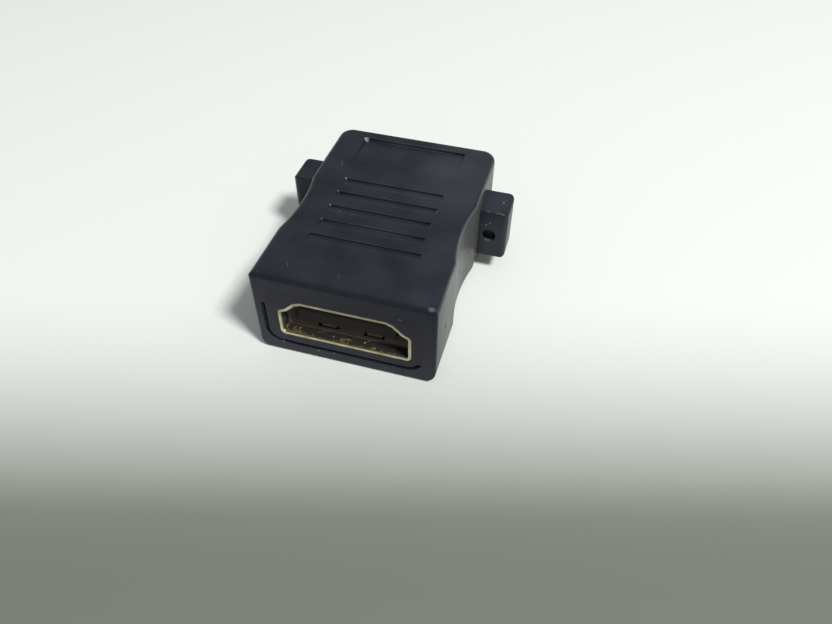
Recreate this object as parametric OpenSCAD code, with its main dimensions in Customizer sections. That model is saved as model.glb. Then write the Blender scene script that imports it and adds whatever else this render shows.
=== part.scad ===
// Panel coupler for digital audio-video cables: a waisted black housing with two screw ears,
// and at each end a D-shaped socket with a tongue of nineteen contacts.
// +X is the width, with an ear on each side. +Y is the length, with the front socket facing -Y.
// +Z is up. The origin is at the middle of the bottom.

/* [Housing] */
// Width of the housing across its straight ends
body_w = 20; // [19.4:0.1:26]
// Height of the housing
body_h = 11.1; // [10.5:0.1:16]
// Length of the housing, from face to face
body_l = 28.7; // [27:0.1:50]
// Radius along the long top edges and the rear top edge
top_edge_r = 0.85; // [0.3:0.05:1.4]
// Radius along the two long bottom edges
bottom_edge_r = 1.7; // [0.3:0.05:2.4]
// Radius across the top edge of the front face
front_edge_r = 0.7; // [0.2:0.05:1.2]
// Radius across the bottom edge of each end face
foot_edge_r = 0.35; // [0.1:0.05:0.8]
// Radius of the two upright corners at the front
front_corner_r = 0.3; // [0.1:0.05:1]
// Radius of the two upright corners at the rear
rear_corner_r = 1.7; // [1.5:0.05:2.4]

/* [Waist] */
// How deep the finger pinch goes into each long side
waist_depth = 0.56; // [0.2:0.02:0.8]
// Distance from the front face to the start of the pinch
waist_start = 7.7; // [5:0.1:9]
// Length of the pinch along the side
waist_l = 10; // [6:0.1:10.4]

/* [Grip steps and label field] */
// Number of ramped grip steps on the top
step_count = 5; // [1:1:5]
// Distance from the front face to the first step's back wall
step_first = 7.5; // [6:0.05:8]
// Distance from one step to the next
step_pitch = 2.61; // [2:0.01:2.7]
// Width of each step
step_w = 11.8; // [6:0.1:14]
// Width of the step nearest the front
front_step_w = 12.5; // [6:0.1:14]
// Depth of each step at its back wall
step_depth = 0.2; // [0.1:0.05:0.5]
// Length of the ramp that runs from each back wall up to the top
step_run = 1.2; // [0.8:0.1:1.9]
// Width of the shallow field near the rear end
field_w = 12.7; // [6:0.1:14]
// Distance from the field's back wall to the rear face
field_back = 1.9; // [1.5:0.05:2.5]
// Depth of the field at its back wall
field_depth = 0.3; // [0.1:0.05:0.5]
// Length of the field's ramp
field_run = 5.2; // [3:0.1:5.8]

/* [Screw ears] */
// How far each ear stands out from the housing's side
ear_reach = 3.4; // [2.8:0.05:8]
// Thickness of each ear along the housing's length
ear_t = 4.2; // [2:0.1:5]
// Height of each ear
ear_h = 6.5; // [4:0.1:9]
// Distance from the front face to the ears' front faces
ear_setback = 19.4; // [18:0.1:20.5]
// Diameter of the screw hole in each ear
ear_hole_d = 1.7; // [1.2:0.1:2.2]
// Distance from the housing's side to the middle of the screw hole
ear_hole_out = 1.25; // [1.2:0.05:1.6]
// How far the screw holes lie below the ears' middle
ear_hole_drop = 0.2; // [0:0.05:0.4]
// Radius of each ear's rear upright corner
ear_corner_r = 0.8; // [0.2:0.05:1.2]
// Radius of each ear's upper and lower outer edges
ear_side_r = 0.45; // [0.1:0.05:0.8]
// Radius of each ear's front upright corner
ear_front_r = 0.6; // [0.1:0.05:0.8]
// Radius across each ear's front top edge
ear_brow_r = 0.25; // [0.1:0.05:0.5]

/* [Inner moulding] */
// Thickness of the housing's side walls round the inner moulding
wall_side = 1.35; // [1.1:0.05:1.6]
// Thickness of the housing's top and bottom walls round the inner moulding
wall_flat = 1.8; // [1.4:0.05:2.1]
// Radius of the inner moulding's long edges
block_r = 1.5; // [0.5:0.1:2]
// Width of the joint line that opens along the bottom of each face
joint_gap = 0.3; // [0.1:0.05:0.5]
// How far the joint line runs up the left side, seen from that end
joint_left_h = 5.2; // [3:0.1:6]
// How far it runs up at the lower right corner
joint_right_h = 0.7; // [0.3:0.05:1]
// Depth of that joint line
joint_depth = 0.4; // [0.3:0.1:1.5]
// How much wider the joint line is at its mouth
joint_flare = 0.15; // [0.05:0.05:0.3]

/* [Socket shell] */
// Height of the socket's middle above the bottom of the housing
socket_z = 5.4; // [5.2:0.01:6]
// Width of the socket's opening at its wide side
opening_w = 14; // [14:0.05:14.1]
// Height of the socket's opening
opening_h = 4.56; // [4.5:0.02:4.7]
// Width of the opening along its narrow side
opening_narrow_w = 10.3; // [9.8:0.1:10.6]
// Height of the opening's upright ends, from its wide side
opening_upright_h = 2.8; // [2.6:0.05:3]
// Distance that the shallow shoulder runs in from each upright end
shoulder_in = 0.6; // [0.4:0.05:0.9]
// Height that the shallow shoulder rises
shoulder_up = 0.3; // [0.2:0.05:0.5]
// How far the two corners at the narrow side are cut back
narrow_cut = 0.35; // [0.1:0.05:0.5]
// Thickness of the gold-plated sheet
sheet_t = 0.32; // [0.2:0.02:0.4]
// Inside radius of the sheet's folds
fold_r = 0.25; // [0.1:0.05:0.4]
// Depth of each socket shell
shell_l = 10.2; // [9.6:0.1:11]

/* [Springs and board tabs] */
// Width of each spring finger cut from the shell
finger_w = 1.7; // [1:0.1:2]
// Length of each spring finger
finger_l = 4.2; // [3:0.1:4.6]
// Distance from the shell's mouth to the fingers' tips
finger_tip = 2.2; // [1.5:0.1:2.4]
// Distance between the middles of the two fingers on one wall
finger_pitch = 5.2; // [4:0.1:5.6]
// Width of the slit round each finger
slit_w = 0.35; // [0.2:0.05:0.5]
// Height of the rounded ridge across each finger's tip
ridge_h = 0.25; // [0.1:0.05:0.3]
// Length of the two tabs that hold the board
tab_l = 2.4; // [1.5:0.1:3]
// Height of those tabs
tab_h = 1.5; // [1.2:0.1:1.6]

/* [Tongue and contacts] */
// Width of the tongue
tongue_w = 10.8; // [10.4:0.1:11.2]
// Thickness of the tongue
tongue_t = 1.7; // [1.4:0.05:1.9]
// Distance from the shell's mouth to the tongue's tip
tongue_setback = 0.9; // [0.5:0.05:1.4]
// Bevel round the tongue's tip
tongue_bevel = 0.2; // [0.1:0.05:0.3]
// Length of the tongue's base at the back of the shell
base_l = 3; // [2:0.1:3.2]
// Distance from one contact to the next in a row
contact_pitch = 1; // [1:0.01:1.02]
// Width of each contact
contact_w = 0.42; // [0.3:0.02:0.46]
// Thickness of each contact
contact_t = 0.2; // [0.15:0.01:0.25]
// How far each contact stands proud of the tongue
contact_proud = 0.04; // [0:0.01:0.08]
// Distance from the tongue's tip to the contacts' tips
contact_setback = 0.6; // [0.3:0.05:1]
// Clearance on each side of a contact in its groove
groove_gap = 0.03; // [0.02:0.01:0.05]
// Length of each contact's foot, past the shell's back edge
foot_l = 1.4; // [1:0.1:1.8]

/* [Circuit board] */
// Thickness of the circuit board
board_t = 1; // [0.8:0.1:1.2]

/* [Hidden] */
$fn = 64;
contact_count = 19;
past = 1; // how far a cut runs past the surface it opens
shy = 0.001; // how far a side lies inside the round corners that it joins, so that they cross
bend_l = 0.5; // length of the bend between a contact's groove and its foot
ridge_r = 0.5; // radius of the ridge on a finger's tip
relief_h = 0.35; // room outside each finger, for it to spring back
pocket_h = 0.5; // room over the contacts' feet
pocket_past = 0.5; // how far that room runs past the feet

front_y = -body_l / 2;
block_w = body_w - 2 * wall_side;
block_h = body_h - 2 * wall_flat;
board_l = body_l - 2 * shell_l;
shell_outer_h = opening_h / 2 + sheet_t;
ear_x = body_w / 2 + ear_hole_out;
ear_z = body_h / 2;

along_x = [90, 0, 90];
along_y = [90, 0, 0];
along_z = [0, 0, 0];

function two_digits(n) = n < 10 ? str("0", n) : str(n);
function contact_names(end) = [for (n = [1:contact_count]) str(end, "_contact_", two_digits(n))];
front_contacts = contact_names("front");
rear_contacts = contact_names("rear");

// Centres of the shell's folds, anticlockwise from the wide side's right end.
// In the socket's outlines the middle of the opening is at the origin.
fold_x = opening_w / 2 - fold_r;
fold_z = opening_h / 2 - fold_r;
upright_z = -opening_h / 2 + opening_upright_h;
shoulder = [fold_x - shoulder_in, upright_z + shoulder_up];
narrow_corner = [opening_narrow_w / 2 - fold_r, fold_z];
narrow_slope = (shoulder - narrow_corner) / norm(shoulder - narrow_corner);
right_folds = [
    [fold_x, -fold_z],
    [fold_x, upright_z],
    shoulder,
    narrow_corner + narrow_cut * narrow_slope,
    narrow_corner - [narrow_cut, 0]
];
left_folds = [for (i = [len(right_folds) - 1:-1:0]) [-right_folds[i].x, right_folds[i].y]];
fold_points = concat(right_folds, left_folds);

// An outline grown by r from a ring of points that runs anticlockwise, with round corners.
module grown(points, r) {
    polygon(points);
    for (i = [0:len(points) - 1]) {
        here = points[i];
        next = points[(i + 1) % len(points)];
        side = next - here;
        translate(here) circle(r);
        translate(here) rotate(atan2(side.y, side.x)) translate([0, shy - r]) square([norm(side), r]);
    }
}

// A rectangle that stands on y = 0, with one radius for its bottom corners and one for its top.
module standing_outline(w, h, bottom_r, top_r) {
    translate([-w / 2, bottom_r]) square([w, h - bottom_r - top_r]);
    translate([-w / 2 + bottom_r, 0]) square([w - 2 * bottom_r, h / 2]);
    translate([-w / 2 + top_r, h / 2]) square([w - 2 * top_r, h / 2]);
    for (side = [-1, 1]) {
        translate([side * (w / 2 - bottom_r), bottom_r]) circle(bottom_r);
        translate([side * (w / 2 - top_r), h - top_r]) circle(top_r);
    }
}

// Stands a front view up and runs it along +Y for a length l from y = 0.
module run_back(l) {
    translate([0, l, 0]) rotate(along_y) linear_extrude(l) children();
}

// Stands a side view up, drawn with y across and z up, and centres its width w on x = 0.
module run_across(w) {
    translate([-w / 2, 0, 0]) rotate(along_x) linear_extrude(w) children();
}

module centred_box(w, l, h) {
    translate([-w / 2, 0, -h / 2]) cube([w, l, h]);
}

// What a round edge of radius r leaves outside itself, for an edge at the origin that runs
// along an axis. Unturned, the solid lies on the two positive sides of the edge.
module edge_cutter(axis, turn, r, l) {
    rotate(axis) rotate([0, 0, turn]) difference() {
        translate([-past, -past, -l / 2 - past]) cube([r + past, r + past, l + 2 * past]);
        translate([r, r, -l / 2 - 2 * past]) cylinder(r = r, h = l + 4 * past);
    }
}

// The two ends, each with its socket's mouth at y = 0 and the opening's middle at z = 0.
module at_front() {
    translate([0, front_y, socket_z]) children();
}

module at_rear() {
    rotate([0, 0, 180]) at_front() children();
}

module at_both_ends() {
    at_front() children();
    at_rear() children();
}

// What one round upright corner of the rear end leaves outside itself, on the +X side of a face
// at y = 0. The round top edge runs on round it.
module rear_corner() {
    reach = rear_corner_r + past;
    translate([body_w / 2 - rear_corner_r + shy, rear_corner_r - shy, 0]) difference() {
        translate([0, -reach, -past]) cube([reach, reach, body_h + 2 * past]);
        rotate_extrude() intersection() {
            union() {
                translate([0, -2 * past]) square([rear_corner_r, body_h + shy - top_edge_r + 2 * past]);
                translate([0, body_h / 2]) square([rear_corner_r - top_edge_r, body_h / 2 + shy]);
                translate([rear_corner_r - top_edge_r, body_h + shy - top_edge_r]) circle(top_edge_r);
            }
            translate([0, -3 * past]) square([reach, body_h + 4 * past]);
        }
    }
}

// Both rear corners, in their places.
module rear_corners() {
    rotate([0, 0, 180]) translate([0, front_y, 0]) {
        rear_corner();
        mirror([1, 0, 0]) rear_corner();
    }
}

module front_corners() {
    translate([body_w / 2, front_y, body_h / 2]) edge_cutter(along_z, 90, front_corner_r, body_h);
    translate([-body_w / 2, front_y, body_h / 2]) edge_cutter(along_z, 0, front_corner_r, body_h);
}

// The round top and bottom edges of one end face, for the face at y = 0.
module face_edges(top_r) {
    translate([0, 0, body_h]) edge_cutter(along_x, -90, top_r, body_w);
    edge_cutter(along_x, 0, foot_edge_r, body_w);
}

// The shallow hollow that pinches both long sides, turned about an upright axis far outside.
// The round long edges follow it.
module waist_cut() {
    pinch_r = (pow(waist_l / 2, 2) + pow(waist_depth, 2)) / (2 * waist_depth);
    for (side = [-1, 1])
        translate([side * (body_w / 2 + pinch_r - waist_depth), front_y + waist_start + waist_l / 2, 0])
            rotate_extrude() difference() {
                union() {
                    translate([0, -past]) square([pinch_r, body_h + 2 * past]);
                    translate([0, body_h - top_edge_r]) square([pinch_r + top_edge_r, top_edge_r + past]);
                    translate([0, -past]) square([pinch_r + bottom_edge_r, bottom_edge_r + past]);
                }
                translate([pinch_r + top_edge_r, body_h - top_edge_r]) circle(top_edge_r);
                translate([pinch_r + bottom_edge_r, bottom_edge_r]) circle(bottom_edge_r);
            }
}

// A cut with an upright back wall at y = 0 and a floor that ramps up to the surface towards -Y.
module ramp_cut(w, depth, run) {
    run_across(w) polygon([[0, past], [0, -depth], [-run, 0], [-run, past]]);
}

module top_cuts() {
    translate([0, 0, body_h]) {
        for (i = [0:step_count - 1])
            translate([0, front_y + step_first + i * step_pitch, 0])
                ramp_cut(i == 0 ? front_step_w : step_w, step_depth, step_run);
        translate([0, -front_y - field_back, 0]) ramp_cut(field_w, field_depth, field_run);
    }
}

// One ear on the +X side, rooted halfway into the housing's wall.
module ear() {
    root = wall_side / 2;
    wide = ear_reach + root;
    translate([body_w / 2 - root, front_y + ear_setback, ear_z - ear_h / 2]) difference() {
        cube([wide, ear_t, ear_h]);
        translate([wide, ear_t, ear_h / 2]) edge_cutter(along_z, 180, ear_corner_r, ear_h);
        translate([wide, 0, ear_h / 2]) edge_cutter(along_z, 90, ear_front_r, ear_h);
        translate([wide, ear_t / 2, 0]) edge_cutter(along_y, 90, ear_side_r, ear_t);
        translate([wide, ear_t / 2, ear_h]) edge_cutter(along_y, 180, ear_side_r, ear_t);
        translate([wide / 2, 0, ear_h]) edge_cutter(along_x, -90, ear_brow_r, wide);
    }
}

module ear_hole() {
    translate([ear_x, front_y + ear_setback - past, ear_z - ear_hole_drop]) rotate([-90, 0, 0])
        cylinder(d = ear_hole_d, h = ear_t + 2 * past);
}

// Front view of the joint line: a band from the moulding's left side to its lower right corner.
module joint_band(gap) {
    intersection() {
        translate([-gap / 2, 0]) difference() {
            translate([0, -gap]) standing_outline(block_w + gap, block_h + gap, block_r + gap, block_r);
            standing_outline(block_w - gap, block_h, block_r, block_r);
        }
        translate([-body_w, -body_h]) union() {
            square([body_w, body_h + joint_left_h]);
            square([2 * body_w, body_h + joint_right_h]);
        }
    }
}

// The joint line at both ends, wider at its mouth.
module joint_lines() {
    for (turn = [0, 180]) rotate([0, 0, turn]) translate([0, front_y - past, wall_flat]) {
        run_back(past + joint_depth) joint_band(joint_gap);
        run_back(past + joint_flare) joint_band(joint_gap + joint_flare);
    }
}

module housing() {
    color("#26292c") difference() {
        union() {
            difference() {
                translate([0, front_y, 0]) run_back(body_l)
                    standing_outline(body_w, body_h, bottom_edge_r, top_edge_r);
                waist_cut();
                translate([0, front_y, 0]) face_edges(front_edge_r);
                rotate([0, 0, 180]) translate([0, front_y, 0]) face_edges(top_edge_r);
                front_corners();
                rear_corners();
                top_cuts();
            }
            ear();
            mirror([1, 0, 0]) ear();
        }
        translate([0, front_y - past, wall_flat]) run_back(body_l + 2 * past)
            standing_outline(block_w, block_h, block_r, block_r);
        joint_lines();
        ear_hole();
        mirror([1, 0, 0]) ear_hole();
    }
}

// The space outside a shell's flat wall over its two fingers. up is 1 for the narrow wall.
module finger_windows(up, inner, outer) {
    for (side = [-1, 1])
        translate([side * finger_pitch / 2, finger_tip - slit_w, up * (inner + outer) / 2])
            centred_box(finger_w + 2 * slit_w, finger_l + slit_w, outer - inner);
}

module fingers(up) {
    wall_z = up * ((opening_h + sheet_t) / 2 - shy);
    for (side = [-1, 1])
        translate([side * finger_pitch / 2, finger_tip, 0]) {
            translate([0, 0, wall_z]) centred_box(finger_w, finger_l + slit_w, sheet_t);
            translate([0, ridge_r, 0]) intersection() {
                translate([-finger_w / 2, 0, up * (opening_h / 2 - ridge_h + ridge_r)]) rotate([0, 90, 0])
                    cylinder(r = ridge_r, h = finger_w);
                translate([0, -ridge_r, wall_z - up * ridge_h / 2])
                    centred_box(finger_w, 2 * ridge_r, sheet_t + ridge_h);
            }
        }
}

// Two tabs on the shell's back edge, level with the tops of its upright ends. They hold the
// board's sides.
module tabs() {
    for (side = [-1, 1])
        translate([side * (opening_w + sheet_t) / 2, shell_l - sheet_t, upright_z - tab_h / 2])
            centred_box(sheet_t, tab_l + sheet_t, tab_h);
}

module shell() {
    difference() {
        run_back(shell_l) grown(fold_points, fold_r + sheet_t);
        translate([0, -past, 0]) run_back(shell_l + 2 * past) grown(fold_points, fold_r);
        for (up = [-1, 1]) finger_windows(up, opening_h / 2 - past, shell_outer_h + past);
    }
    for (up = [-1, 1]) fingers(up);
    tabs();
}

// Contacts are numbered across the socket. The odd ones lie on the wide side.
function contact_x(n) = (n - (contact_count + 1) / 2) * contact_pitch / 2;
function contact_up(n) = n % 2 == 1 ? -1 : 1;
contact_outer = tongue_t / 2 + contact_proud;
contact_tip = tongue_setback + contact_setback;

// A flat strip along the tongue, bent down to a foot that lies on the board.
module contact(n) {
    inner = contact_outer - contact_t;
    foot = board_t / 2;
    profile = [
        [contact_tip, inner],
        [shell_l, inner],
        [shell_l + bend_l, foot],
        [shell_l + foot_l, foot],
        [shell_l + foot_l, foot + contact_t],
        [shell_l + bend_l, foot + contact_t],
        [shell_l, contact_outer],
        [contact_tip + contact_t, contact_outer],
        [contact_tip, contact_outer - contact_t / 2]
    ];
    translate([contact_x(n), 0, 0]) run_across(contact_w)
        polygon(contact_up(n) > 0 ? profile : [for (p = profile) [p.x, -p.y]]);
}

module grooves() {
    for (n = [1:contact_count])
        translate([contact_x(n), contact_tip - groove_gap, contact_up(n) * (contact_outer - contact_t / 2)])
            centred_box(contact_w + 2 * groove_gap, shell_l + past, contact_t);
}

module tongue() {
    base_y = shell_l - base_l;
    difference() {
        union() {
            translate([0, base_y, 0]) run_back(base_l) grown(fold_points, fold_r);
            run_across(tongue_w) polygon([
                [tongue_setback + tongue_bevel, -tongue_t / 2],
                [base_y + past, -tongue_t / 2],
                [base_y + past, tongue_t / 2],
                [tongue_setback + tongue_bevel, tongue_t / 2],
                [tongue_setback, tongue_t / 2 - tongue_bevel],
                [tongue_setback, -tongue_t / 2 + tongue_bevel]
            ]);
        }
        grooves();
    }
}

module circuit_board() {
    color("#1f5c3a") translate([0, -board_l / 2, socket_z]) centred_box(opening_w, board_l, board_t);
}

// The room over the contacts' feet, above and below the board.
module feet_rooms() {
    for (up = [-1, 1])
        translate([0, shell_l, up * (board_t + contact_t + pocket_h) / 2])
            centred_box(tongue_w, foot_l + pocket_past, contact_t + pocket_h);
}

// Cast round both shells and the board, with room left for the springs and the contacts' feet.
module inner_moulding() {
    color("#2a2d30") difference() {
        translate([0, front_y, wall_flat]) run_back(body_l)
            standing_outline(block_w, block_h, block_r, block_r);
        at_both_ends() {
            translate([0, -past, 0]) run_back(shell_l + past) grown(fold_points, fold_r + sheet_t);
            tabs();
            feet_rooms();
            for (up = [-1, 1]) finger_windows(up, opening_h / 2, shell_outer_h + relief_h);
        }
        circuit_board();
        joint_lines();
        rear_corners();
    }
}

module front_shell() {
    color("#c9b45a") at_front() shell();
}

module rear_shell() {
    color("#c9b45a") at_rear() shell();
}

module front_tongue() {
    color("#17181a") at_front() tongue();
}

module rear_tongue() {
    color("#17181a") at_rear() tongue();
}

module front_contact(n) {
    color("#d8be62") at_front() contact(n);
}

module rear_contact(n) {
    color("#d8be62") at_rear() contact(n);
}

housing();
inner_moulding();
circuit_board();
front_shell();
rear_shell();
front_tongue();
rear_tongue();
for (n = [1:contact_count]) {
    front_contact(n);
    rear_contact(n);
}
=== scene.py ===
import math
import bpy
from mathutils import Matrix, Vector


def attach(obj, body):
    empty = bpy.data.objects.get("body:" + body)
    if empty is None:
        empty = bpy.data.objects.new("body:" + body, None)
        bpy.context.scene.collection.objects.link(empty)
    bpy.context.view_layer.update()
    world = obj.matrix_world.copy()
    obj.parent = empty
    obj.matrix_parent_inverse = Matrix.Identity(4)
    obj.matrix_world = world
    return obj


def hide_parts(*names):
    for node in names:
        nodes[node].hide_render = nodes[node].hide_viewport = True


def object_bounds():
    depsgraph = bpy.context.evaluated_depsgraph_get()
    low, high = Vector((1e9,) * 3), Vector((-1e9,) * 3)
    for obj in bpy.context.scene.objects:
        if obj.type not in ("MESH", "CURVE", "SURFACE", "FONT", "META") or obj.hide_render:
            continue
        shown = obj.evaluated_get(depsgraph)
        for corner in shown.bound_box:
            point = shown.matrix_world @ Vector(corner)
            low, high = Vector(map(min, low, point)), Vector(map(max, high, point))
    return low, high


# Cable coupler with a socket at each end and a screw ear on each side.
# Sizes are in millimetres here and become metres where Blender takes them.
mm = 0.001
bevelSamples = 8  # rays that round an edge in the shading

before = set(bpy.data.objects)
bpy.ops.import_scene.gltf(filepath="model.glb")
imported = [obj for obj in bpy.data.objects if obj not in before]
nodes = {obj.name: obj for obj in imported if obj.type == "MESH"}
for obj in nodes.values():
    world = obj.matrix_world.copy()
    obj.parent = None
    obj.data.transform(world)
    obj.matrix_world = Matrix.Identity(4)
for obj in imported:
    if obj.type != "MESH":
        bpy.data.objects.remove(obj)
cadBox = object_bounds()
print("frame loaded:", len(nodes), "nodes")


# Small helpers
def toLinear(hexColour):  # sRGB hex to the linear values that sockets take
    channels = [int(hexColour[i:i + 2], 16) / 255 for i in (1, 3, 5)]
    linear = [c / 12.92 if c <= 0.04045 else ((c + 0.055) / 1.055) ** 2.4 for c in channels]
    return (*linear, 1.0)


def inMetres(point):
    return tuple(value * mm for value in point)


def perMetre(size):  # a noise scale from the size of its features in mm
    return 1.0 / (size * mm)


def addNode(tree, kind, settings=None, links=None):  # a node with its values and what feeds it
    node = tree.nodes.new(kind)
    for name, value in (settings or {}).items():
        if isinstance(name, str) and name in node.bl_rna.properties:
            setattr(node, name, value)
        else:
            node.inputs[name].default_value = value
    for name, source in (links or {}).items():
        tree.links.new(source, node.inputs[name])
    return node


def newMaterial(name, shaderSettings):  # an empty node tree with its shader, and Object coordinates
    material = bpy.data.materials.new(name)
    material.use_nodes = True
    tree = material.node_tree
    tree.nodes.clear()
    shader = addNode(tree, "ShaderNodeBsdfPrincipled", shaderSettings)
    addNode(tree, "ShaderNodeOutputMaterial", links={"Surface": shader.outputs[0]})
    place = addNode(tree, "ShaderNodeTexCoord").outputs["Object"]
    return material, tree, shader, place


def wear(name, material):  # gives a CAD node its finish
    for slot in nodes[name].material_slots:
        slot.material = material


# Camera, at the photograph's place and lens
cameraSettings = {
    "standsAt": (20.51, -60.34, 59.72),
    "looksAt": (5.10, -4.63, 0.0),
    "roll": 0.72,
    "focalLengthPixels": 708.9,
    "photoWidthPixels": 832,
    "sensorWidth": 36.0,
    "nearest": 2.0,
    "farthest": 5000.0,
}


def makeCamera(s):
    data = bpy.data.cameras.new("photoCamera")
    data.sensor_width = s["sensorWidth"]
    data.lens = s["focalLengthPixels"] * s["sensorWidth"] / s["photoWidthPixels"]
    data.clip_start = s["nearest"] * mm
    data.clip_end = s["farthest"] * mm
    camera = bpy.data.objects.new("photoCamera", data)
    bpy.context.scene.collection.objects.link(camera)
    sight = Vector(s["looksAt"]) - Vector(s["standsAt"])
    level = sight.to_track_quat("-Z", "Y").to_matrix()
    turn = level @ Matrix.Rotation(math.radians(s["roll"]), 3, "Z")
    camera.matrix_world = Matrix.Translation(inMetres(s["standsAt"])) @ turn.to_4x4()
    bpy.context.scene.camera = camera


makeCamera(cameraSettings)
print("camera placed")


# Table top, a matt white laminate, so it is pale and even without a highlight. Its near part lies in
# shade, drawn as a soft band in its colour. Each step is a depth along the view, counted from the
# object's middle, and the colour there.
tableSettings = {
    "reach": 1500.0,
    "drop": 0.01,  # just under the object, so that they share no plane
    "rough": 0.75,
    "gloss": 0.25,
    "depthAngle": 15.5,  # degrees from the object's length to the band's depth
    "steps": [
        (-150.0, "#f7fbf9"),
        (-110.0, "#dce1df"),
        (-62.0, "#787c75"),
        (-42.0, "#7d817a"),
        (-32.0, "#787c75"),
        (-27.0, "#a9ada8"),
        (-21.0, "#ccd1cf"),
        (-14.0, "#e8edec"),
        (-6.0, "#f8fcfa"),
    ],
    "rampFrom": -150.0,
    "rampTo": -0.3,
}


def makeTable(s):
    reach = s["reach"]
    corners = [(-reach, -reach), (reach, -reach), (reach, reach), (-reach, reach)]
    mesh = bpy.data.meshes.new("tableTop")
    mesh.from_pydata([inMetres((x, y, -s["drop"])) for x, y in corners], [], [(0, 1, 2, 3)])
    table = bpy.data.objects.new("tableTop", mesh)
    bpy.context.scene.collection.objects.link(table)
    material, tree, shader, place = newMaterial(
        "whiteLaminateMatt",
        {"Roughness": s["rough"], "Specular IOR Level": s["gloss"]},
    )
    turned = addNode(
        tree, "ShaderNodeVectorRotate",
        {"rotation_type": "Z_AXIS", "Angle": math.radians(-s["depthAngle"])},
        {"Vector": place},
    )
    depth = addNode(tree, "ShaderNodeSeparateXYZ", links={0: turned.outputs[0]})
    share = addNode(
        tree, "ShaderNodeMapRange",
        {"From Min": s["rampFrom"] * mm, "From Max": s["rampTo"] * mm},
        {"Value": depth.outputs["Y"]},
    )
    ramp = addNode(tree, "ShaderNodeValToRGB", links={0: share.outputs[0]})
    ramp.color_ramp.interpolation = "B_SPLINE"
    stops = ramp.color_ramp.elements
    stops.remove(stops[1])
    for i, (at, colour) in enumerate(s["steps"]):
        position = (at - s["rampFrom"]) / (s["rampTo"] - s["rampFrom"])
        stop = stops[0] if i == 0 else stops.new(position)
        stop.color = toLinear(colour)
    tree.links.new(ramp.outputs[0], shader.inputs["Base Color"])
    table.data.materials.append(material)


makeTable(tableSettings)
print("table made")


# Soft studio light: one key lamp high on the right, and a pale room that is dimmer behind the object
lampSettings = {
    "from": (0.507, -0.270, 0.818),
    "distance": 900.0,
    "size": 180.0,
    "share": 0.865,
    "colour": "#fffdf8",
}
roomSettings = {
    "overhead": 0.33,
    "horizon": 0.44,
    "levelTop": 0.5,  # sine of the angle above the horizon where the overhead strength is reached
    "behind": (-0.18, 0.70, 0.70),
    "behindDip": 0.07,
    "dipFrom": (0.5, 0.95),  # cosines of the angles to "behind" where the dip starts and is full
    "colour": "#f7fafa",
}


def makeLamp(s):
    data = bpy.data.lights.new("keyLamp", "AREA")
    data.shape = "DISK"
    data.size = s["size"] * mm
    data.color = toLinear(s["colour"])[:3]
    away = Vector(s["from"]).normalized()
    # watts that give a white surface facing the lamp the wanted share of full brightness
    data.energy = s["share"] * math.pi * math.pi * (s["distance"] * mm) ** 2
    lamp = bpy.data.objects.new("keyLamp", data)
    bpy.context.scene.collection.objects.link(lamp)
    turn = (-away).to_track_quat("-Z", "Y").to_matrix().to_4x4()
    lamp.matrix_world = Matrix.Translation(away * s["distance"] * mm) @ turn


def makeRoom(s):
    world = bpy.data.worlds.new("paleRoom")
    bpy.context.scene.world = world
    world.use_nodes = True
    tree = world.node_tree
    tree.nodes.clear()
    around = addNode(tree, "ShaderNodeTexCoord").outputs["Generated"]
    height = addNode(tree, "ShaderNodeSeparateXYZ", links={0: around})
    level = addNode(
        tree, "ShaderNodeMapRange",
        {"interpolation_type": "SMOOTHSTEP", "From Max": s["levelTop"],
         "To Min": s["horizon"], "To Max": s["overhead"]},
        {"Value": height.outputs["Z"]},
    )
    behind = addNode(
        tree, "ShaderNodeVectorMath",
        {"operation": "DOT_PRODUCT", 1: Vector(s["behind"]).normalized()},
        {0: around},
    )
    start, end = s["dipFrom"]
    dip = addNode(
        tree, "ShaderNodeMapRange",
        {"interpolation_type": "SMOOTHSTEP", "From Min": start, "From Max": end,
         "To Max": s["behindDip"]},
        {"Value": behind.outputs["Value"]},
    )
    strength = addNode(
        tree, "ShaderNodeMath",
        {"operation": "SUBTRACT"},
        {0: level.outputs[0], 1: dip.outputs[0]},
    )
    light = addNode(
        tree, "ShaderNodeBackground",
        {"Color": toLinear(s["colour"])},
        {"Strength": strength.outputs[0]},
    )
    addNode(tree, "ShaderNodeOutputWorld", links={0: light.outputs[0]})


makeLamp(lampSettings)
makeRoom(roomSettings)
print("lamp and room made")


# Black PVC, injection moulded in a spark-eroded tool: satin, nearly black with a cold cast. Dust
# and handling leave a thin film on what faces up. It holds lint, scuffs and fine scratches.
# Painted light, painted highlights and a painted reflection are laid over it in places.
pvcShared = {
    "ior": 1.53,
    "dustAndPaintedLight": "#9197a3",
    "lintAndPaintedLight": "#c8ccd2",
    "lintRough": 0.9,
    "rough": (0.33, 0.43),
    "grainSize": 0.20,  # the real grain is near 0.05 mm, too fine to show
    "upFrom": (0.7, 1.0),  # from a slope that holds little film to a level face that holds it all
    "wallFilm": 0.1,  # share of the film that steeper faces hold
    "filmEdge": (0.35, 0.65),  # these two set how sharply the patches of film and of gloss meet
    "handledEdge": (0.3, 0.7),
    "bendFrom": (0.995, 0.90),  # cosines between rounded and true normal where wear starts and is full
}

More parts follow.
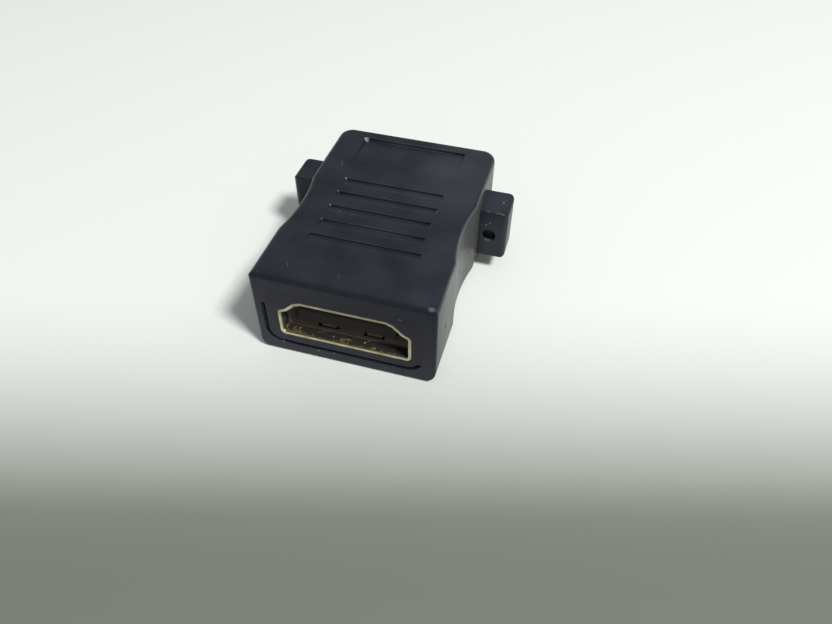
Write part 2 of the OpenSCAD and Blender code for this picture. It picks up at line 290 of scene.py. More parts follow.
# Each mark is its middle, its half lengths along x, y and z, its turn about z and its strength
pvcLooks = {
    "housing": {
        "name": "blackPvcMoulded",
        "dark": "#131520",
        "light": "#1a1c2a",
        "gloss": 0.29,
        "filmShare": (0.021, 0.049),
        "filmSize": 3.4,
        "worn": "#4a4e52",
        "wornShare": 0.30,
        "grainHeight": 0.006,
        "cloudSize": 3.2,
        "handledSize": 7.0,
        "edgeRadius": 0.018,
        "marks": [
            # lint between the ribs, and scratches on the top
            ((-4.5, -2.3, 11.1), (0.16, 0.12, 0.2), 20.0, 0.24),
            ((-2.9, -2.55, 11.1), (0.13, 0.11, 0.2), 0.0, 0.16),
            ((0.3, 2.8, 11.1), (0.14, 0.12, 0.2), 0.0, 0.2),
            ((-0.4, 1.3, 11.1), (0.12, 0.10, 0.2), 0.0, 0.12),
            ((-7.35, 6.35, 11.1), (0.80, 0.05, 0.3), -72.0, 0.17),
            ((-6.45, -12.2, 11.1), (0.46, 0.05, 0.3), -58.0, 0.14),
            ((-0.8, -12.5, 11.1), (0.30, 0.05, 0.3), -50.0, 0.1),
            # a worn corner at the front left, a painted highlight on the front right corner,
            # and a painted glint in the field's corner
            ((-9.0, -13.9, 10.8), (0.35, 0.08, 0.3), -30.0, 0.4),
            ((9.3, -14.05, 10.85), (0.5, 0.32, 0.3), 0.0, 0.16),
            ((-6.2, 12.25, 11.0), (0.44, 0.34, 0.3), -15.0, 1.0),
            # glints at the ribs' ends
            ((-6.25, -6.8, 11.0), (0.14, 0.12, 0.2), 0.0, 0.08),
            ((-5.85, -4.19, 11.0), (0.16, 0.13, 0.2), 0.0, 0.32),
            ((-5.85, -1.58, 11.0), (0.16, 0.13, 0.2), 0.0, 0.55),
            ((-5.85, 1.03, 11.0), (0.14, 0.12, 0.2), 0.0, 0.42),
            ((-5.85, 3.64, 11.0), (0.16, 0.13, 0.2), 0.0, 0.8),
            ((5.9, -2.1, 11.05), (0.08, 0.60, 0.2), 0.0, 0.12),
            ((5.9, 0.5, 11.05), (0.08, 0.60, 0.2), 0.0, 0.2),
            # lint and a rubbed edge on the right ear
            ((12.35, 7.3, 8.8), (0.13, 0.13, 0.1), 0.0, 0.5),
            ((12.6, 7.8, 8.8), (0.10, 0.10, 0.1), 0.0, 0.2),
            ((12.3, 5.15, 8.75), (0.75, 0.14, 0.14), 0.0, 0.09),
            ((12.75, 5.1, 8.7), (0.25, 0.14, 0.14), 0.0, 0.14),
            ((11.0, 5.15, 8.75), (0.45, 0.12, 0.12), 0.0, 0.07),
            ((10.85, 5.1, 6.85), (0.12, 0.2, 0.12), 0.0, 0.45),
            ((11.3, 5.1, 7.2), (0.14, 0.2, 0.09), 0.0, 0.45),
            # pale specks along the joint under the socket
            ((-7.28, -14.3, 1.35), (0.14, 0.3, 0.16), 0.0, 0.2),
            ((-3.19, -14.3, 1.17), (0.13, 0.3, 0.12), 0.0, 0.4),
            ((-2.16, -14.3, 1.01), (0.16, 0.3, 0.06), 0.0, 0.15),
            ((-1.40, -14.3, 1.25), (0.15, 0.3, 0.11), 0.0, 0.4),
            ((4.47, -14.3, 0.89), (0.13, 0.3, 0.07), 0.0, 0.15),
            # painted light inside the right screw hole: a pale fill that lifts its dark inside
            ((11.25, 7.95, 5.35), (1.3, 2.7, 1.3), 0.0, 1.0),
            # painted light along the steps of the ribs and of the field: faint pale lines that lift
            # their shade
            ((0.0, -6.9, 11.0), (7.2, 0.30, 0.5), 0.0, 0.016),
            ((0.0, -4.3, 11.0), (6.8, 0.30, 0.5), 0.0, 0.03),
            ((0.0, -1.7, 11.0), (6.8, 0.30, 0.5), 0.0, 0.016),
            ((0.0, 0.9, 11.0), (6.8, 0.30, 0.5), 0.0, 0.016),
            ((0.0, 3.5, 11.0), (6.8, 0.30, 0.5), 0.0, 0.016),
            ((0.0, 12.4, 10.95), (7.2, 0.35, 0.5), 0.0, 0.04),
        ],
        # painted light: pale patches in the film's colour where floor glare, highlights and
        # reflections fall
        "paintedLightPatches": [
            ((-8.5, -14.4, 5.0), (3.5, 0.6, 6.0), 0.0, 0.12),
            ((11.7, 5.1, 5.5), (2.4, 0.5, 3.6), 0.0, 0.3),
            ((7.0, 8.0, 11.1), (7.0, 12.0, 1.5), 0.0, 0.056),
            ((8.5, -9.0, 11.1), (4.0, 9.0, 1.0), 0.0, 0.025),
            ((11.7, 7.2, 8.8), (3.0, 3.5, 0.5), 0.0, 0.04),
        ],
        # a painted reflection of the pale table on the right wall, and small scraped marks that break
        # it
        "paintedTableReflection": "#a3a59c",
        "rightFrom": (0.75, 0.96),  # the normal's x where this painted reflection starts and is full
        "paintedReflectionPatches": [
            ((9.8, -5.6, 5.0), (3.0, 8.4, 20.0), 0.0, 0.25),
            ((9.8, 0.5, 5.0), (3.0, 11.5, 20.0), 0.0, 0.15),
        ],
        "scraped": [
            ((9.66, 1.55, 5.2), (0.4, 0.24, 0.26), 0.0, 0.9),
            ((9.44, -2.0, 5.15), (0.4, 0.20, 0.40), 0.0, 0.9),
            ((10.0, -10.6, 5.2), (0.4, 0.22, 0.50), 0.0, 0.9),
        ],
    },
    "inner_moulding": {
        "name": "blackPvcInner",
        "dark": "#13121f",
        "light": "#191828",
        "gloss": 0.27,
        "filmShare": (0.02, 0.04),
        "filmSize": 3.0,
        "worn": "#44474c",
        "wornShare": 0.25,
        "grainHeight": 0.005,
        "cloudSize": 2.2,
        "handledSize": 6.0,
        "edgeRadius": 0.012,
        "marks": [
            ((6.16, -14.3, 8.8), (0.30, 0.2, 0.08), 0.0, 0.22),
        ],
    },
}
markCore = 0.4  # the inner share of a mark's radius that has its full strength


def markField(tree, place, marks):  # the strongest of some soft ellipsoids, as one number
    total = None
    for middle, halves, turn, strength in marks:
        inside = addNode(
            tree, "ShaderNodeMapping",
            {"vector_type": "TEXTURE", "Location": inMetres(middle), "Scale": inMetres(halves),
             "Rotation": (0.0, 0.0, math.radians(turn))},
            {"Vector": place},
        )
        out = addNode(tree, "ShaderNodeVectorMath", {"operation": "LENGTH"}, {0: inside.outputs[0]})
        mark = addNode(
            tree, "ShaderNodeMapRange",
            {"interpolation_type": "SMOOTHSTEP", "From Min": 1.0, "From Max": markCore,
             "To Max": strength},
            {"Value": out.outputs["Value"]},
        )
        if total is None:
            total = mark.outputs[0]
        else:
            total = addNode(
                tree, "ShaderNodeMath", {"operation": "MAXIMUM"},
                {0: total, 1: mark.outputs[0]},
            ).outputs[0]
    return total


def layOver(tree, colour, coats):  # lays coats of colour on each other, each by its own amount
    for amount, coat in coats:
        colour = addNode(
            tree, "ShaderNodeMix",
            {"data_type": "RGBA", 7: toLinear(coat)},
            {0: amount, 6: colour},
        ).outputs[2]
    return colour


def makePvc(s):
    material, tree, shader, place = newMaterial(
        s["name"],
        {"IOR": s["ior"], "Specular IOR Level": s["gloss"]},
    )
    noises = {}
    for use, size, detail in (
        ("grain", s["grainSize"], 2.0),
        ("cloud", s["cloudSize"], 2.0),
        ("handled", s["handledSize"], 2.0),
        ("filmAndPaintedLight", s["filmSize"], 3.0),
    ):
        noises[use] = addNode(
            tree, "ShaderNodeTexNoise",
            {"Scale": perMetre(size), "Detail": detail},
            {"Vector": place},
        ).outputs[0]
    soft = addNode(
        tree, "ShaderNodeBevel",
        {"samples": bevelSamples, "Radius": s["edgeRadius"] * mm},
    )
    surface = addNode(tree, "ShaderNodeNewGeometry")

    # film of dust and handling, on what faces up, with the patches of painted light added to it
    facing = addNode(tree, "ShaderNodeSeparateXYZ", links={0: surface.outputs["Normal"]})
    start, end = s["upFrom"]
    up = addNode(
        tree, "ShaderNodeMapRange",
        {"From Min": start, "From Max": end, "To Min": s["wallFilm"]},
        {"Value": facing.outputs["Z"]},
    )
    start, end = s["filmEdge"]
    thin, thick = s["filmShare"]
    filmPatchesAndPaintedLight = addNode(
        tree, "ShaderNodeMapRange",
        {"From Min": start, "From Max": end, "To Min": thin, "To Max": thick},
        {"Value": noises["filmAndPaintedLight"]},
    ).outputs[0]
    # patches of painted light, added to the film's share
    if "paintedLightPatches" in s:
        filmPatchesAndPaintedLight = addNode(
            tree, "ShaderNodeMath", {"operation": "ADD"},
            {0: filmPatchesAndPaintedLight, 1: markField(tree, place, s["paintedLightPatches"])},
        ).outputs[0]
    filmAndPaintedLight = addNode(
        tree, "ShaderNodeMath", {"operation": "MULTIPLY"},
        {0: up.outputs[0], 1: filmPatchesAndPaintedLight},
    ).outputs[0]

    # edges rubbed smooth and paler, found where the rounded normal leaves the true one
    bend = addNode(
        tree, "ShaderNodeVectorMath", {"operation": "DOT_PRODUCT"},
        {0: soft.outputs[0], 1: surface.outputs["Normal"]},
    )
    start, end = s["bendFrom"]
    edge = addNode(
        tree, "ShaderNodeMapRange",
        {"From Min": start, "From Max": end, "To Max": s["wornShare"]},
        {"Value": bend.outputs["Value"]},
    )
    worn = addNode(
        tree, "ShaderNodeMath", {"operation": "MULTIPLY"},
        {0: edge.outputs[0], 1: noises["cloud"]},
    )

    marks = markField(tree, place, s["marks"])
    coats = [(worn.outputs[0], s["worn"]), (filmAndPaintedLight, s["dustAndPaintedLight"])]
    matt = marks
    # the painted reflection of the table on the right wall, less where the scraped marks are
    if "paintedReflectionPatches" in s:
        start, end = s["rightFrom"]
        right = addNode(
            tree, "ShaderNodeMapRange",
            {"From Min": start, "From Max": end},
            {"Value": facing.outputs["X"]},
        )
        scraped = markField(tree, place, s["scraped"])
        left = addNode(
            tree, "ShaderNodeMath", {"operation": "SUBTRACT"},
            {0: markField(tree, place, s["paintedReflectionPatches"]), 1: scraped},
        )
        paintedTableReflection = addNode(
            tree, "ShaderNodeMath", {"operation": "MULTIPLY", "use_clamp": True},
            {0: right.outputs[0], 1: left.outputs[0]},
        )
        coats.append((paintedTableReflection.outputs[0], s["paintedTableReflection"]))
        matt = addNode(
            tree, "ShaderNodeMath", {"operation": "MAXIMUM"},
            {0: marks, 1: scraped},
        ).outputs[0]
    # lint, and the painted highlights, glints and light among the marks
    coats.append((marks, s["lintAndPaintedLight"]))
    base = addNode(
        tree, "ShaderNodeMix",
        {"data_type": "RGBA", 6: toLinear(s["dark"]), 7: toLinear(s["light"])},
        {0: noises["cloud"]},
    )
    tree.links.new(layOver(tree, base.outputs[2], coats), shader.inputs["Base Color"])

    start, end = s["handledEdge"]
    low, high = s["rough"]
    handled = addNode(
        tree, "ShaderNodeMapRange",
        {"From Min": start, "From Max": end, "To Min": low, "To Max": high},
        {"Value": noises["handled"]},
    )
    rough = addNode(
        tree, "ShaderNodeMix",
        {"data_type": "FLOAT", 3: s["lintRough"]},
        {0: matt, 2: handled.outputs[0]},
    )
    tree.links.new(rough.outputs[0], shader.inputs["Roughness"])
    bump = addNode(
        tree, "ShaderNodeBump",
        {"Strength": 1.0, "Distance": s["grainHeight"] * mm},
        {"Height": noises["grain"], "Normal": soft.outputs[0]},
    )
    tree.links.new(bump.outputs[0], shader.inputs["Normal"])
    return material


for nodeName, look in pvcLooks.items():
    wear(nodeName, makePvc({**pvcShared, **look}))
print("moulded parts finished")


# Gold flash over nickel on folded steel sheet: pale at the cut edge, yellow just inside the mouth,
# then a dark brown painted shade further in and a paler painted light deepest in, with faint rolling
# lines. In a few places the painted shade is left off, so the bare gold shows bright.
# The real lines are finer than 0.05 mm, too fine to show, so they are drawn coarser.
mouth = round(cadBox[1][1] / mm, 3)  # from the object's middle to the end face that a socket opens in
goldLooks = {
    "shell": {
        "name": "goldPlatedSheet",
        "bright": "#d0ccb0",
        "dull": "#aea685",
        "rough": (0.26, 0.42),
        "patchSize": 1.6,
        "lineSize": (0.12, 4.0, 0.12),
        "lineHeight": 0.004,
        "edgeRadius": 0.06,
        # the finish and its painted shade and light by depth in mm from the mouth, with marks as on
        # the housing
        "inside": {
            "mouth": mouth,
            "yellow": "#b5a55c",
            "yellowFrom": (0.04, 0.15),
            "paintedShade": "#25211f",
            "deepPaintedLight": "#9c9189",
            "deepFrom": (1.3, 1.8),
            "paintedCover": 0.85,
            "paintedShadeFrom": (0.02, 0.28),
            "paintedShadeRough": 0.7,
            "raggedSize": 0.40,
            "ragged": 1.0,
            "brokenEdge": (0.42, 0.58),
            # places left without the painted shade, where the bare gold glints
            "paintedShadeGaps": [
                ((-6.93, -13.6, 3.12), (0.16, 0.55, 0.3), 0.0, 0.7),
                ((-7.0, -13.9, 4.2), (0.3, 0.5, 1.2), 0.0, 0.2),
                ((-6.06, -13.5, 3.12), (0.55, 0.09, 0.2), 64.0, 0.7),
                ((-5.50, -13.45, 3.12), (0.42, 0.12, 0.2), 78.0, 0.7),
                ((-6.0, -14.15, 3.12), (1.7, 0.6, 0.3), 0.0, 0.7),
                ((-3.10, -13.3, 3.12), (0.45, 0.07, 0.2), 12.0, 0.45),
                ((-2.57, -12.8, 3.12), (0.70, 0.45, 0.3), 0.0, 0.25),
                ((-0.18, -13.75, 3.12), (0.80, 0.40, 0.2), 10.0, 0.8),
                ((3.13, -14.05, 3.12), (0.35, 0.35, 0.2), 0.0, 0.8),
            ],
            "lintAndPaintedLight": [
                ((-6.06, -13.5, 3.12), (0.45, 0.06, 0.2), 64.0, 0.22),
                ((-5.50, -13.4, 3.12), (0.34, 0.10, 0.2), 78.0, 0.16),
                ((-2.30, -12.6, 3.12), (0.45, 0.08, 0.2), -8.0, 0.14),
                ((-2.75, -12.9, 3.12), (0.30, 0.07, 0.2), 60.0, 0.12),
                ((-1.55, -13.58, 3.12), (0.13, 0.15, 0.2), 0.0, 0.22),
                ((0.05, -13.55, 3.12), (0.40, 0.07, 0.2), 5.0, 0.16),
                ((1.94, -13.47, 3.12), (0.14, 0.17, 0.2), 0.0, 0.34),
                ((2.35, -13.05, 3.12), (0.48, 0.08, 0.2), 46.0, 0.16),
                # a painted glint at the rim's lower left corner
                ((-6.93, -14.3, 3.2), (0.20, 0.25, 0.20), 0.0, 1.0),
            ],
            "lintAndPaintedLightColour": "#e6e4d8",
            "darkerRimTop": [
                ((0.0, -14.4, 7.7), (9.0, 0.3, 1.0), 0.0, 0.28),
            ],
        },
    },
    "contact": {
        "name": "goldPlatedContact",
        "bright": "#cdbb86",
        "dull": "#8f7d4a",
        "rough": (0.28, 0.44),
        "patchSize": 0.9,
        "lineSize": (0.08, 2.0, 0.08),
        "lineHeight": 0.002,
        "edgeRadius": 0.03,
    },
}
patchEdge = (0.35, 0.65)  # how sharply bright and dull patches of gold meet


def paintShadeInside(s, tree, place, colour, rough, shader):  # changes the finish by depth from the mouth, and paints shade and light there
    across = addNode(tree, "ShaderNodeSeparateXYZ", links={0: place})
    fromMiddle = addNode(
        tree, "ShaderNodeMath",
        {"operation": "ABSOLUTE"},
        {0: across.outputs["Y"]},
    )
    depth = addNode(
        tree, "ShaderNodeMath",
        {"operation": "SUBTRACT", 0: s["mouth"] * mm},
        {1: fromMiddle.outputs[0]},
    ).outputs[0]
    start, end = s["yellowFrom"]
    yellow = addNode(
        tree, "ShaderNodeMapRange",
        {"From Min": start * mm, "From Max": end * mm},
        {"Value": depth},
    )
    colour = layOver(tree, colour, [(yellow.outputs[0], s["yellow"])])

    # painted shade that starts on a ragged line, left off in places so that the bare gold shows
    torn = addNode(
        tree, "ShaderNodeTexNoise",
        {"Scale": perMetre(s["raggedSize"]), "Detail": 2.0},
        {"Vector": place},
    )
    ragged = addNode(
        tree, "ShaderNodeMath",
        {"operation": "MULTIPLY_ADD", 1: s["ragged"] * mm},
        {0: torn.outputs[0], 2: depth},
    )
    start, end = s["paintedShadeFrom"]
    middle = s["ragged"] / 2
    paintedShade = addNode(
        tree, "ShaderNodeMapRange",
        {"From Min": (start + middle) * mm, "From Max": (end + middle) * mm},
        {"Value": ragged.outputs[0]},
    )
    start, end = s["brokenEdge"]
    broken = addNode(
        tree, "ShaderNodeMapRange",
        {"From Min": start, "From Max": end},
        {"Value": torn.outputs[0]},
    )
    paintedShadeGaps = addNode(
        tree, "ShaderNodeMath",
        {"operation": "MULTIPLY"},
        {0: broken.outputs[0], 1: markField(tree, place, s["paintedShadeGaps"])},
    )
    clean = addNode(
        tree, "ShaderNodeMath",
        {"operation": "SUBTRACT", 0: 1.0},
        {1: paintedShadeGaps.outputs[0]},
    )
    paintedShadeKept = addNode(
        tree, "ShaderNodeMath",
        {"operation": "MULTIPLY"},
        {0: paintedShade.outputs[0], 1: clean.outputs[0]},
    )
    left = addNode(
        tree, "ShaderNodeMath",
        {"operation": "MULTIPLY"},
        {0: paintedShadeKept.outputs[0], 1: yellow.outputs[0]},
    ).outputs[0]
    # painted shade near the mouth turns to a paler painted light deeper in
    start, end = s["deepFrom"]
    deep = addNode(
        tree, "ShaderNodeMapRange",
        {"From Min": start * mm, "From Max": end * mm},
        {"Value": depth},
    )
    paintedShadeAndLight = addNode(
        tree, "ShaderNodeMix",
        {"data_type": "RGBA", 6: toLinear(s["paintedShade"]), 7: toLinear(s["deepPaintedLight"])},
        {0: deep.outputs[0]},
    )
    colour = addNode(
        tree, "ShaderNodeMix",
        {"data_type": "RGBA"},
        {0: left, 6: colour, 7: paintedShadeAndLight.outputs[2]},
    ).outputs[2]

    # the top of the rim darkened with the same brown, lint and a painted glint over all,
    # and neither the painted shade nor the lint is metal
    darkerRimTop = markField(tree, place, s["darkerRimTop"])
    lintAndPaintedLight = markField(tree, place, s["lintAndPaintedLight"])
    colour = layOver(tree, colour, [(darkerRimTop, s["paintedShade"]), (lintAndPaintedLight, s["lintAndPaintedLightColour"])])
    covered = addNode(
        tree, "ShaderNodeMath",
        {"operation": "MULTIPLY", 1: s["paintedCover"]},
        {0: left},
    )
    matt = addNode(
        tree, "ShaderNodeMath",
        {"operation": "MAXIMUM"},
        {0: covered.outputs[0], 1: lintAndPaintedLight},
    )
    metal = addNode(
        tree, "ShaderNodeMath",
        {"operation": "SUBTRACT", 0: 1.0},
        {1: matt.outputs[0]},
    )
    tree.links.new(metal.outputs[0], shader.inputs["Metallic"])
    rough = addNode(
        tree, "ShaderNodeMix",
        {"data_type": "FLOAT", 3: s["paintedShadeRough"]},
        {0: left, 2: rough},
    ).outputs[0]
    return colour, rough


def makeGold(s):
    material, tree, shader, place = newMaterial(s["name"], {"Metallic": 1.0})
    patch = addNode(
        tree, "ShaderNodeTexNoise",
        {"Scale": perMetre(s["patchSize"]), "Detail": 3.0},
        {"Vector": place},
    )
    stretched = addNode(
        tree, "ShaderNodeMapping",
        {"vector_type": "TEXTURE", "Scale": inMetres(s["lineSize"])},
        {"Vector": place},
    )
    lines = addNode(
        tree, "ShaderNodeTexNoise", {"Scale": 1.0, "Detail": 2.0},
        {"Vector": stretched.outputs[0]},
    )
    start, end = patchEdge
    spread = addNode(
        tree, "ShaderNodeMapRange",
        {"From Min": start, "From Max": end},
        {"Value": patch.outputs[0]},
    ).outputs[0]
    colour = addNode(
        tree, "ShaderNodeMix",
        {"data_type": "RGBA", 6: toLinear(s["bright"]), 7: toLinear(s["dull"])},
        {0: spread},
    ).outputs[2]
    low, high = s["rough"]
    rough = addNode(
        tree, "ShaderNodeMapRange",
        {"To Min": low, "To Max": high},
        {"Value": spread},
    ).outputs[0]
    if "inside" in s:
        colour, rough = paintShadeInside(s["inside"], tree, place, colour, rough, shader)
    tree.links.new(colour, shader.inputs["Base Color"])
    tree.links.new(rough, shader.inputs["Roughness"])
    soft = addNode(
        tree, "ShaderNodeBevel",
        {"samples": bevelSamples, "Radius": s["edgeRadius"] * mm},
    )
    bump = addNode(
        tree, "ShaderNodeBump",
        {"Strength": 1.0, "Distance": s["lineHeight"] * mm},
        {"Height": lines.outputs[0], "Normal": soft.outputs[0]},
    )
    tree.links.new(bump.outputs[0], shader.inputs["Normal"])
    return material


goldSheet = makeGold(goldLooks["shell"])
for nodeName in ("front_shell", "rear_shell"):
    wear(nodeName, goldSheet)
print("shells finished")


# Contacts, stamped from strip with round edges, ten on the tongue's wide side and nine on the
# other at each end. Their tips dip into the tongue and their feet step down to the board.
# These are the inputs of their node tree.
contactSettings = {
    "Count": 10,
    "Pitch": 1.0,
    "Width": 0.42,
    "Thickness": 0.2,
    "Edge radius": 0.05,
    # places along the contact, in from the mouth
    "Tip": 1.5,
    "Dip end": 1.85,
    "Bend start": 10.2,
    "Bend end": 10.7,
    "Foot end": 11.6,
    # how far the tip dips, and how far the rest lies from the tongue's middle
    "Dip": 0.12,
    "Groove height": 0.79,
    "Foot height": 0.6,
    # where the front mouth lies along the object, and how high the tongue's middle is
    "Mouth": -mouth,
    "Middle": 5.4,
}
contactPath = (  # each stretch of the path, and its number of points
    ("Tip", "Dip end", 5),
    ("Dip end", "Bend start", 2),
    ("Bend start", "Bend end", 7),
    ("Bend end", "Foot end", 2),
)
edgePoints = 2  # points that round each edge of the strip
mergeDistance = 0.001  # joins the stretches where their ends meet


def makeContactTree(s):
    tree = bpy.data.node_groups.new("contactRows", "GeometryNodeTree")
    tree.interface.new_socket("Geometry", in_out="OUTPUT", socket_type="NodeSocketGeometry")
    for name, value in s.items():
        kind = "NodeSocketInt" if isinstance(value, int) else "NodeSocketFloat"
        tree.interface.new_socket(name, in_out="INPUT", socket_type=kind)
    tree.interface.new_socket("Finish", in_out="INPUT", socket_type="NodeSocketMaterial")
    given = addNode(tree, "NodeGroupInput").outputs

    # path of one contact, in from the mouth along Y, with points where it turns
    path = addNode(tree, "GeometryNodeJoinGeometry")
    for start, stop, points in contactPath:
        ends = []
        for name in (start, stop):
            ends.append(addNode(tree, "ShaderNodeCombineXYZ", links={"Y": given[name]}))
        line = addNode(
            tree, "GeometryNodeMeshLine",
            {"mode": "END_POINTS", "Count": points},
            {"Start Location": ends[0].outputs[0], "Offset": ends[1].outputs[0]},
        )
        tree.links.new(line.outputs[0], path.inputs[0])
    whole = addNode(
        tree, "GeometryNodeMergeByDistance",
        {"Distance": mergeDistance * mm},
        {0: path.outputs[0]},
    )
    here = addNode(tree, "GeometryNodeInputPosition")
    along = addNode(tree, "ShaderNodeSeparateXYZ", links={0: here.outputs[0]})
    step = addNode(
        tree, "ShaderNodeMapRange",
        {"interpolation_type": "SMOOTHSTEP"},
        {"Value": along.outputs["Y"], "From Min": given["Bend start"], "From Max": given["Bend end"],
         "To Min": given["Groove height"], "To Max": given["Foot height"]},
    )
    dip = addNode(
        tree, "ShaderNodeMapRange",
        {"interpolation_type": "SMOOTHSTEP", "To Max": 0.0},
        {"Value": along.outputs["Y"], "From Min": given["Tip"], "From Max": given["Dip end"],
         "To Min": given["Dip"]},
    )
    height = addNode(
        tree, "ShaderNodeMath",
        {"operation": "SUBTRACT"},
        {0: step.outputs[0], 1: dip.outputs[0]},
    )
    bent = addNode(
        tree, "ShaderNodeCombineXYZ",
        links={"Y": along.outputs["Y"], "Z": height.outputs[0]},
    )
    moved = addNode(
        tree, "GeometryNodeSetPosition",
        links={0: whole.outputs[0], "Position": bent.outputs[0]},
    )
    curve = addNode(tree, "GeometryNodeMeshToCurve", links={0: moved.outputs[0]})

    # flat strip with round edges, swept along the path
    flat = addNode(
        tree, "GeometryNodeCurvePrimitiveQuadrilateral",
        links={"Width": given["Width"], "Height": given["Thickness"]},
    )
    rounded = addNode(
        tree, "GeometryNodeFilletCurve",
        {"mode": "POLY", "Count": edgePoints, "Limit Radius": True},
        {0: flat.outputs[0], "Radius": given["Edge radius"]},
    )
    contact = addNode(
        tree, "GeometryNodeCurveToMesh",
        {"Fill Caps": True},
        {0: curve.outputs[0], 1: rounded.outputs[0]},
    )

    # one row on each side of the tongue, the short one half a pitch across from the long one
    fewer = addNode(
        tree, "ShaderNodeMath",
        {"operation": "SUBTRACT", 1: 1.0},
        {0: given["Count"]},
    )
    span = addNode(
        tree, "ShaderNodeMath",
        {"operation": "MULTIPLY"},
        {0: fewer.outputs[0], 1: given["Pitch"]},
    )
    firstLong = addNode(
        tree, "ShaderNodeMath",
        {"operation": "MULTIPLY", 1: -0.5},
        {0: span.outputs[0]},
    )
    firstShort = addNode(
        tree, "ShaderNodeMath",
        {"operation": "MULTIPLY_ADD", 1: 0.5},
        {0: given["Pitch"], 2: firstLong.outputs[0]},
    )
    pitch = addNode(tree, "ShaderNodeCombineXYZ", links={"X": given["Pitch"]})
    rows = addNode(tree, "GeometryNodeJoinGeometry")
    for count, first, turn in (
        (given["Count"], firstLong.outputs[0], math.pi),
        (fewer.outputs[0], firstShort.outputs[0], 0.0),
    ):
        start = addNode(tree, "ShaderNodeCombineXYZ", links={"X": first})
        line = addNode(
            tree, "GeometryNodeMeshLine",
            {"mode": "OFFSET"},
            {"Count": count, "Start Location": start.outputs[0], "Offset": pitch.outputs[0]},
        )
        row = addNode(
            tree, "GeometryNodeInstanceOnPoints",
            links={0: line.outputs[0], "Instance": contact.outputs[0]},
        )
        turned = addNode(
            tree, "GeometryNodeTransform",
            {"Rotation": (0.0, turn, 0.0)},
            {0: row.outputs[0]},
        )
        tree.links.new(turned.outputs[0], rows.inputs[0])

    # the front end, then the same turned round for the rear end
    mouthPlace = addNode(
        tree, "ShaderNodeCombineXYZ",
        links={"Y": given["Mouth"], "Z": given["Middle"]},
    )
    front = addNode(
        tree, "GeometryNodeTransform",
        links={0: rows.outputs[0], "Translation": mouthPlace.outputs[0]},
    )
    rear = addNode(
        tree, "GeometryNodeTransform",
        {"Rotation": (0.0, 0.0, math.pi)},
        {0: front.outputs[0]},
    )
    both = addNode(tree, "GeometryNodeJoinGeometry", links={0: front.outputs[0]})
    tree.links.new(rear.outputs[0], both.inputs[0])
    solid = addNode(tree, "GeometryNodeRealizeInstances", links={0: both.outputs[0]})
    plated = addNode(
        tree, "GeometryNodeSetMaterial",
        links={0: solid.outputs[0], "Material": given["Finish"]},
    )
    addNode(tree, "NodeGroupOutput", links={0: plated.outputs[0]})
    return tree


def makeContacts(s, finish):
    tree = makeContactTree(s)
    blank = bpy.data.objects.new("contactBlank", bpy.data.meshes.new("contactBlank"))
    bpy.context.scene.collection.objects.link(blank)
    rows = blank.modifiers.new("rows", "NODES")
    rows.node_group = tree
    for socket in tree.interface.items_tree:
        if socket.name in s:
            value = s[socket.name]
            rows[socket.identifier] = value if isinstance(value, int) else value * mm
        elif socket.name == "Finish":
            rows[socket.identifier] = finish
    finished = blank.evaluated_get(bpy.context.evaluated_depsgraph_get())
    mesh = bpy.data.meshes.new_from_object(finished)
    mesh.name = "contacts"
    blank.modifiers.remove(rows)
    bpy.data.objects.remove(blank)
    contacts = bpy.data.objects.new("contacts", mesh)
    bpy.context.scene.collection.objects.link(contacts)
    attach(contacts, "root")
    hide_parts(*[name for name in nodes if "_contact_" in name])
    print("contacts made:", len(mesh.polygons), "faces")


makeContacts(contactSettings, makeGold(goldLooks["contact"]))


# Black liquid-crystal polymer of the tongues, injection moulded: dull, with flow marks along it.
# Its brown cast is a painted reflection of the gold around it, and its upward faces are paler,
# a painted light that lifts their shade.
tongueSettings = {
    "name": "blackLcpMoulded",
    "dark": "#1c1715",
    "light": "#241d1a",
    "dustAndPaintedLight": "#75685c",
    "paintedTopLightShare": 0.35,
    "upFrom": (0.3, 1.0),
    "ior": 1.6,
    "gloss": 0.18,
    "rough": (0.55, 0.7),
    "flowEdge": (0.3, 0.7),
    "flowSize": (0.25, 2.2, 0.25),
    "flowHeight": 0.003,
}


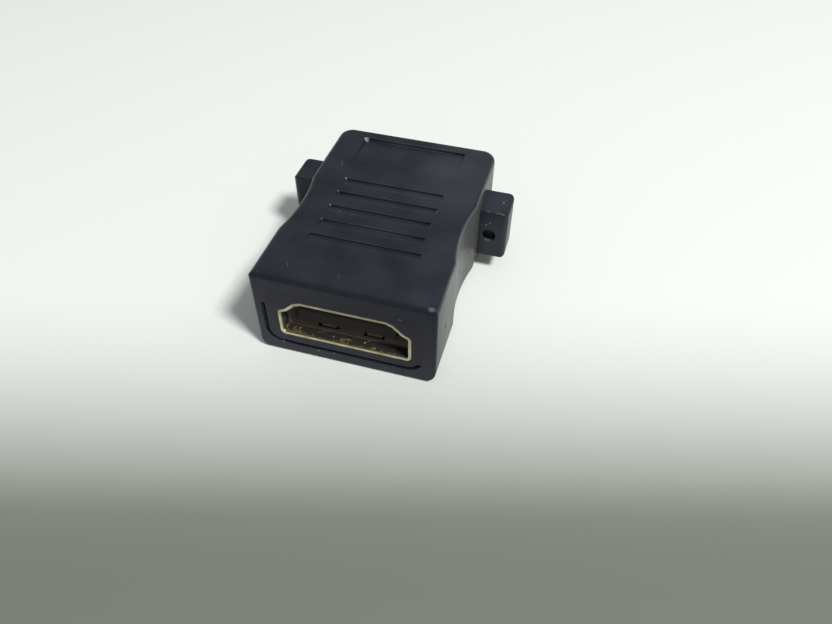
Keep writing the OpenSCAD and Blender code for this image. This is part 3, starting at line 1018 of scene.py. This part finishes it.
def makeTongue(s):
    material, tree, shader, place = newMaterial(
        s["name"],
        {"IOR": s["ior"], "Specular IOR Level": s["gloss"]},
    )
    stretched = addNode(
        tree, "ShaderNodeMapping",
        {"vector_type": "TEXTURE", "Scale": inMetres(s["flowSize"])},
        {"Vector": place},
    )
    flow = addNode(
        tree, "ShaderNodeTexNoise", {"Scale": 1.0, "Detail": 3.0},
        {"Vector": stretched.outputs[0]},
    )
    colour = addNode(
        tree, "ShaderNodeMix",
        {"data_type": "RGBA", 6: toLinear(s["dark"]), 7: toLinear(s["light"])},
        {0: flow.outputs[0]},
    ).outputs[2]
    surface = addNode(tree, "ShaderNodeNewGeometry")
    facing = addNode(tree, "ShaderNodeSeparateXYZ", links={0: surface.outputs["Normal"]})
    # painted light on the faces that look up, which lifts their shade
    start, end = s["upFrom"]
    up = addNode(
        tree, "ShaderNodeMapRange",
        {"From Min": start, "From Max": end, "To Max": s["paintedTopLightShare"]},
        {"Value": facing.outputs["Z"]},
    )
    paintedTopLight = layOver(tree, colour, [(up.outputs[0], s["dustAndPaintedLight"])])
    tree.links.new(paintedTopLight, shader.inputs["Base Color"])
    start, end = s["flowEdge"]
    low, high = s["rough"]
    rough = addNode(
        tree, "ShaderNodeMapRange",
        {"From Min": start, "From Max": end, "To Min": low, "To Max": high},
        {"Value": flow.outputs[0]},
    )
    tree.links.new(rough.outputs[0], shader.inputs["Roughness"])
    bump = addNode(
        tree, "ShaderNodeBump",
        {"Strength": 1.0, "Distance": s["flowHeight"] * mm},
        {"Height": flow.outputs[0]},
    )
    tree.links.new(bump.outputs[0], shader.inputs["Normal"])
    return material


tongueBlack = makeTongue(tongueSettings)
for nodeName in ("front_tongue", "rear_tongue"):
    wear(nodeName, tongueBlack)
print("tongues finished")


# Glass-fibre laminate under green solder resist: glossy, with the weave just showing through
boardSettings = {
    "name": "solderResistLaminate",
    "dark": "#173f29",
    "light": "#22573a",
    "ior": 1.5,
    "rough": 0.28,
    "threadSpacing": 0.45,
    "threadHeight": 0.004,
}
bandScale = math.pi / 10  # the wave texture's scale at which its bands are one unit apart


def makeBoard(s):
    material, tree, shader, place = newMaterial(s["name"], {"Roughness": s["rough"], "IOR": s["ior"]})
    threads = []
    for direction in ("X", "Y"):
        thread = addNode(
            tree, "ShaderNodeTexWave",
            {"bands_direction": direction, "Scale": bandScale * perMetre(s["threadSpacing"])},
            {"Vector": place},
        )
        threads.append(thread.outputs["Fac"])
    weave = addNode(
        tree, "ShaderNodeMath",
        {"operation": "MULTIPLY"},
        {0: threads[0], 1: threads[1]},
    )
    colour = addNode(
        tree, "ShaderNodeMix",
        {"data_type": "RGBA", 6: toLinear(s["dark"]), 7: toLinear(s["light"])},
        {0: weave.outputs[0]},
    )
    tree.links.new(colour.outputs[2], shader.inputs["Base Color"])
    bump = addNode(
        tree, "ShaderNodeBump",
        {"Strength": 1.0, "Distance": s["threadHeight"] * mm},
        {"Height": weave.outputs[0]},
    )
    tree.links.new(bump.outputs[0], shader.inputs["Normal"])
    return material


wear("circuit_board", makeBoard(boardSettings))
print("board finished")

bpy.context.scene.view_settings.view_transform = "Standard"
